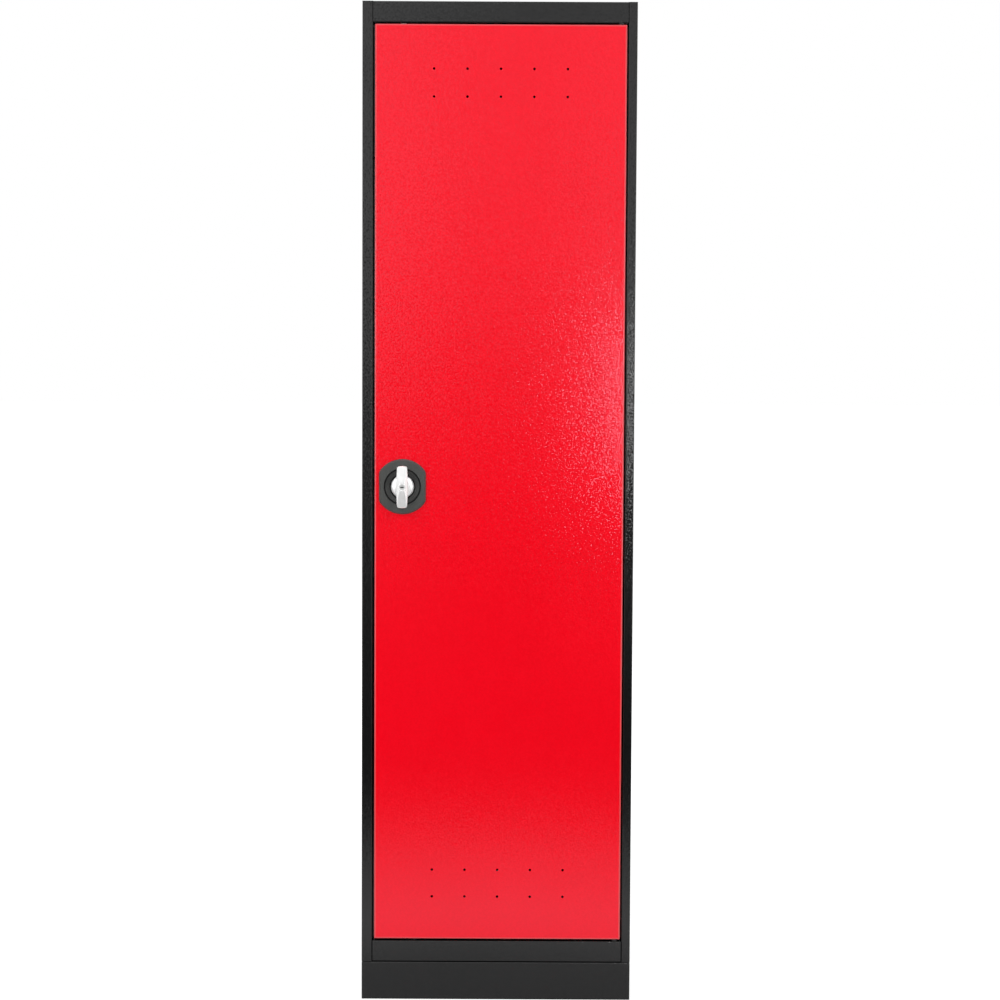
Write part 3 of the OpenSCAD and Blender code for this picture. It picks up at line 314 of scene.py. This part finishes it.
# In the rows of four, the brightness goes from the third number to the fourth
# as the measure goes from the first to the second.
# Light added to the mirrored floor beyond the dim middle, by the power of ten of the distance
FAR_FLOOR = (0.55, 1.8, 0.0, 0.4)
# Light added to the mirrored floor beside and behind the cabinet, by the distance
SIDE_FLOOR = (1.2, 2.5, 0.0, 0.45)
# The floor as the camera sees it, by the distance
SEEN_FLOOR = (0.5, 3.0, 0.82, 1.0)
# The mirrored room in the middle and beside it, by how far up the reflected ray points
MIDDLE_WALL = (0.0, 0.16, 0.11, 0.66)
SIDE_WALL = (0.0, 0.06, 0.9, 1.22)
# What the sides lose, by how far right the ray points, and how far up it points where that begins
SIDE_LOSS = (-0.06, 0.06, -0.1, -0.32)
LOSS_HEIGHT = (0.06, 0.11)
# How brightly the room lights the object
ROOM_LIGHT = 0.25


def plain_floor():
    """A pale floor with the cabinet's shadow. A reflection shows it bright near the cabinet, then dark."""
    mesh = bpy.data.meshes.new("floor")
    size = FLOOR_HALF_WIDTH
    corners = [(-size, -size), (size, -size), (size, size), (-size, size)]
    mesh.from_pydata([(x, y, -FLOOR_DROP) for x, y in corners], [], [(0, 1, 2, 3)])
    floor = bpy.data.objects.new("floor", mesh)
    bpy.context.scene.collection.objects.link(floor)
    m = Nodes("floor")
    ray = m.add("ShaderNodeLightPath").outputs
    away = m.add("ShaderNodeVectorMath", {"operation": "LENGTH"}, Vector=m.place()).outputs["Value"]
    decades = m.math("LOGARITHM", away, 10.0)
    mirrored = m.add("ShaderNodeValToRGB", Fac=m.remap(decades, *DECADES))
    ramp = mirrored.color_ramp
    ramp.interpolation = "LINEAR"
    while len(ramp.elements) > 1:
        ramp.elements.remove(ramp.elements[-1])
    for i, (distance, brightness) in enumerate(MIRRORED_FLOOR):
        place = (math.log10(distance) - DECADES[0]) / (DECADES[1] - DECADES[0])
        element = ramp.elements[0] if i == 0 else ramp.elements.new(place)
        element.position = place
        element.color = rgb(brightness, brightness, brightness)
    where = m.axes()
    across = m.math("ABSOLUTE", where["X"])
    deep = m.math("ABSOLUTE", where["Y"])
    uncovered = m.math("MAXIMUM", m.math("GREATER_THAN", across, plinth_high.x),
                       m.math("GREATER_THAN", deep, plinth_high.y))
    aside = m.math("DIVIDE", across, deep)
    wings = m.math("MULTIPLY", m.remap(aside, *DARK_MIDDLE), m.remap(decades, *FAR_FLOOR))
    elsewhere = m.math("MAXIMUM", m.remap(aside, *BESIDE), m.math("GREATER_THAN", where["Y"], 0.0))
    wide = m.math("MULTIPLY", elsewhere, m.remap(away, *SIDE_FLOOR))
    reflected = m.math("ADD", m.math("ADD", mirrored.outputs["Color"], wings), wide)
    glow = m.math("ADD", m.math("MULTIPLY", ray["Is Camera Ray"], m.remap(away, *SEEN_FLOOR)),
                  m.math("MULTIPLY", ray["Is Glossy Ray"], reflected))
    light = m.add("ShaderNodeEmission", Color=WHITE, Strength=m.math("MULTIPLY", glow, uncovered))
    paper = m.mix(m.noise(scale=40.0, detail=3.0), rgb(0.29, 0.29, 0.29), rgb(0.31, 0.31, 0.31))
    pale = m.mix(ray["Is Camera Ray"], rgb(0.78, 0.78, 0.78), paper)
    diffuse = m.add("ShaderNodeBsdfDiffuse", Color=m.mix(ray["Is Glossy Ray"], pale, rgb(0.0, 0.0, 0.0)))
    both = m.add("ShaderNodeAddShader")
    m.tree.links.new(light.outputs[0], both.inputs[0])
    m.tree.links.new(diffuse.outputs[0], both.inputs[1])
    m.tree.links.new(both.outputs[0], m.output.inputs["Surface"])
    mesh.materials.append(m.owner)


def white_world():
    """White behind the object; in reflections a pale room, dimmer in front and towards the floor."""
    m = Nodes("world", world=True)
    ray = m.add("ShaderNodeLightPath").outputs
    way = m.axes(m.add("ShaderNodeTexCoord").outputs["Generated"])
    aside = m.math("ABSOLUTE", m.math("DIVIDE", way["X"], way["Y"]))
    wings = m.math("MAXIMUM", m.remap(aside, *DARK_MIDDLE), m.math("GREATER_THAN", way["Y"], 0.0))
    middle_wall = m.remap(way["Z"], *MIDDLE_WALL)
    loss = m.math("MULTIPLY", m.remap(way["X"], *SIDE_LOSS), m.remap(way["Z"], *LOSS_HEIGHT))
    side_wall = m.math("ADD", m.remap(way["Z"], *SIDE_WALL), loss)
    step = m.math("SUBTRACT", side_wall, middle_wall)
    walls = m.math("ADD", middle_wall, m.math("MULTIPLY", wings, step))
    in_mirrors = m.math("MULTIPLY", ray["Is Glossy Ray"], m.math("SUBTRACT", walls, ROOM_LIGHT))
    room = m.math("ADD", in_mirrors, ROOM_LIGHT)
    white = m.math("MAXIMUM", room, ray["Is Camera Ray"])
    background = m.add("ShaderNodeBackground", Color=WHITE, Strength=white)
    m.tree.links.new(background.outputs[0], m.output.inputs["Surface"])
    bpy.context.scene.world = m.owner


def softbox(name, place, aim, width, height, radiance):
    """A rectangular area light at a place, turned to an aim."""
    light = bpy.data.lights.new(name, "AREA")
    light.shape = "RECTANGLE"
    light.size = width
    light.size_y = height
    light.energy = radiance * math.pi * width * height
    lamp = bpy.data.objects.new(name, light)
    bpy.context.scene.collection.objects.link(lamp)
    lamp.location = place
    lamp.rotation_euler = (Vector(aim) - Vector(place)).to_track_quat("-Z", "Y").to_euler()


plain_floor()
white_world()

# The front lamps stand above and below the height at which the top would mirror them
door_middle = (0.0, front_y, 1.0)
body_middle = (0.0, 0.2, 0.9)
softbox("front_left_high", (-3.0, -2.7, 4.0), door_middle, width=2.0, height=2.0, radiance=6.54)
softbox("front_right_high", (3.0, -2.7, 4.0), door_middle, width=2.0, height=2.0, radiance=6.54)
softbox("front_left_low", (-3.0, -2.7, 0.85), door_middle, width=2.0, height=1.9, radiance=2.57)
softbox("front_right_low", (3.0, -2.7, 0.85), door_middle, width=2.0, height=1.9, radiance=2.57)
softbox("window", (0.72, -6.0, 1.01), (0.0, front_y, 1.01), width=0.2, height=0.75, radiance=7.8)
softbox("rear_left", (-3.0, 3.2, 4.0), body_middle, width=2.0, height=2.0, radiance=6.0)
softbox("rear_right", (3.0, 3.2, 4.0), body_middle, width=2.0, height=2.0, radiance=6.0)
softbox("over", (0.0, 0.2, 4.2), body_middle, width=2.0, height=2.0, radiance=3.0)


# Camera, from the four corners of the cabinet's front in the photograph

IMAGE_PIXELS = 1000
FOCAL_PIXELS = 2164.76
SENSOR_WIDTH = 36.0
CAMERA_PLACE = Vector((0.0035, -4.2, 1.1834))
YAW, PITCH, ROLL = (math.radians(degrees) for degrees in (-0.0071, 3.5945, 0.2775))

ahead = Vector((-math.sin(YAW) * math.cos(PITCH), math.cos(YAW) * math.cos(PITCH), -math.sin(PITCH)))
level = Vector((math.cos(YAW), math.sin(YAW), 0.0))
upright = level.cross(ahead)
right = math.cos(ROLL) * level + math.sin(ROLL) * upright
up = math.cos(ROLL) * upright - math.sin(ROLL) * level

camera_data = bpy.data.cameras.new("camera")
camera_data.sensor_width = SENSOR_WIDTH
camera_data.lens = FOCAL_PIXELS * SENSOR_WIDTH / IMAGE_PIXELS
camera = bpy.data.objects.new("camera", camera_data)
bpy.context.scene.collection.objects.link(camera)
camera.matrix_world = Matrix((
    (right.x, up.x, -ahead.x, CAMERA_PLACE.x),
    (right.y, up.y, -ahead.y, CAMERA_PLACE.y),
    (right.z, up.z, -ahead.z, CAMERA_PLACE.z),
    (0.0, 0.0, 0.0, 1.0),
))
bpy.context.scene.camera = camera
bpy.context.scene.view_settings.view_transform = "Standard"
